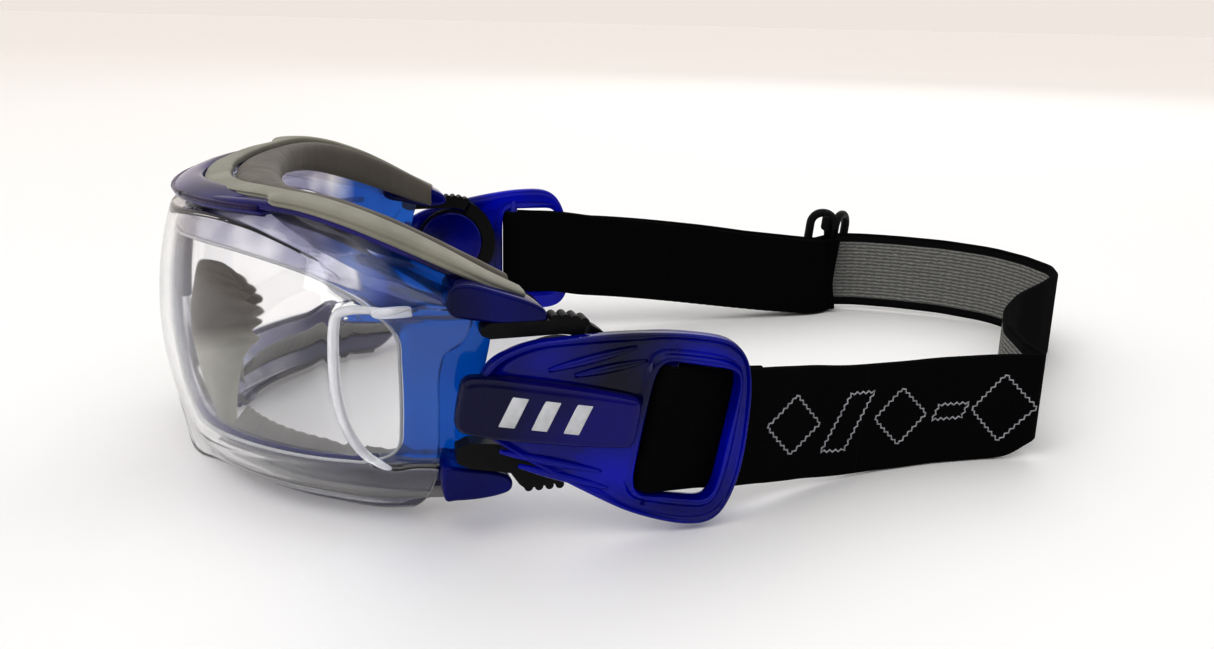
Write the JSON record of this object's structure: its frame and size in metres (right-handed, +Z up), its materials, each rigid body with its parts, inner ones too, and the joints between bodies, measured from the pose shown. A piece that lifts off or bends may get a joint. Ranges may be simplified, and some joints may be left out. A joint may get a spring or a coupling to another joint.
{
  "type": "safety goggles",
  "caption": "Wrap-around safety goggles with a clear lens, blue side frame, grey brow seal, swinging side clips and an elastic headband with a slider.",
  "frame": {"origin": "under the middle of the whole object, on the surface it lies on", "axes": "+X the wearer's left, +Y from the lens towards the back of the head, +Z up"},
  "size_m": [0.1544, 0.2545, 0.0655],
  "materials": {
    "lens": "clear moulded polycarbonate, polished",
    "seal": "soft clear-grey rubber",
    "frame_blue": "translucent royal blue, glossy",
    "clip_blue": "deep translucent blue, glossy",
    "tongue_blue": "dark violet blue, glossy, with a plain light-grey mark",
    "pin_blue": "blue, glossy",
    "trim_grey": "soft-touch warm grey",
    "pad_grey": "soft matt brown-grey",
    "black_plastic": "satin black",
    "webbing": "woven elastic, black outside, grey ribbed inside"
  },
  "bodies": {
    "goggles": {"lens": "lens", "lens_seal": "seal", "frame": "frame_blue", "vent_cover": "frame_blue", "brow_trim": "trim_grey", "brow_pad": "pad_grey", "nose_pad": "pad_grey", "left_cheek_gasket": "pad_grey", "right_cheek_gasket": "pad_grey"},
    "headband": {"left_yoke": "black_plastic", "right_yoke": "black_plastic", "strap_band": "webbing", "strap_return": "webbing"},
    "slider_buckle": {"slider": "black_plastic", "strap_tail_loop": "webbing"},
    "left_side_clip": {"left_clip": "clip_blue", "left_tongue": "tongue_blue", "left_hub_disc": "clip_blue", "left_pivot_pin": "pin_blue", "left_strap_loop": "webbing"},
    "left_upper_arm": {"left_upper_latch": "black_plastic"},
    "left_lower_arm": {"left_lower_latch": "black_plastic"},
    "right_side_clip": {"right_clip": "clip_blue", "right_tongue": "tongue_blue", "right_hub_disc": "clip_blue", "right_pivot_pin": "pin_blue", "right_strap_loop": "webbing"},
    "right_upper_arm": {"right_upper_latch": "black_plastic"},
    "right_lower_arm": {"right_lower_latch": "black_plastic"}
  },
  "joints": [
    {"name": "strap_release", "type": "slide", "parent": "goggles", "child": "headband", "axis": [0, 1, 0], "range_m": [0, 0.014]},
    {"name": "slider_travel", "type": "slide", "parent": "headband", "child": "slider_buckle", "axis": [0, 0.9945, -0.1045], "range_m": [-0.025, 0]},
    {"name": "left_clip_swing", "type": "hinge", "parent": "headband", "child": "left_side_clip", "pos_m": [0.07, -0.05285, 0.0295], "axis": [1, 0, 0], "range_deg": [0, 22]},
    {"name": "left_upper_squeeze", "type": "hinge", "parent": "headband", "child": "left_upper_arm", "pos_m": [0.0685, -0.04763, 0.0402], "axis": [1, 0, 0], "range_deg": [0, 3.5], "stiffness_Nm_per_rad": 0.1},
    {"name": "left_lower_squeeze", "type": "hinge", "parent": "headband", "child": "left_lower_arm", "pos_m": [0.0685, -0.04763, 0.0188], "axis": [1, 0, 0], "range_deg": [-3.5, 0], "stiffness_Nm_per_rad": 0.1},
    {"name": "right_clip_swing", "type": "hinge", "parent": "headband", "child": "right_side_clip", "pos_m": [-0.07, -0.05285, 0.0295], "axis": [1, 0, 0], "range_deg": [-11, 11]},
    {"name": "right_upper_squeeze", "type": "hinge", "parent": "headband", "child": "right_upper_arm", "pos_m": [-0.0685, -0.04763, 0.0402], "axis": [1, 0, 0], "range_deg": [0, 3.5], "stiffness_Nm_per_rad": 0.1},
    {"name": "right_lower_squeeze", "type": "hinge", "parent": "headband", "child": "right_lower_arm", "pos_m": [-0.0685, -0.04763, 0.0188], "axis": [1, 0, 0], "range_deg": [-3.5, 0], "stiffness_Nm_per_rad": 0.1}
  ]
}
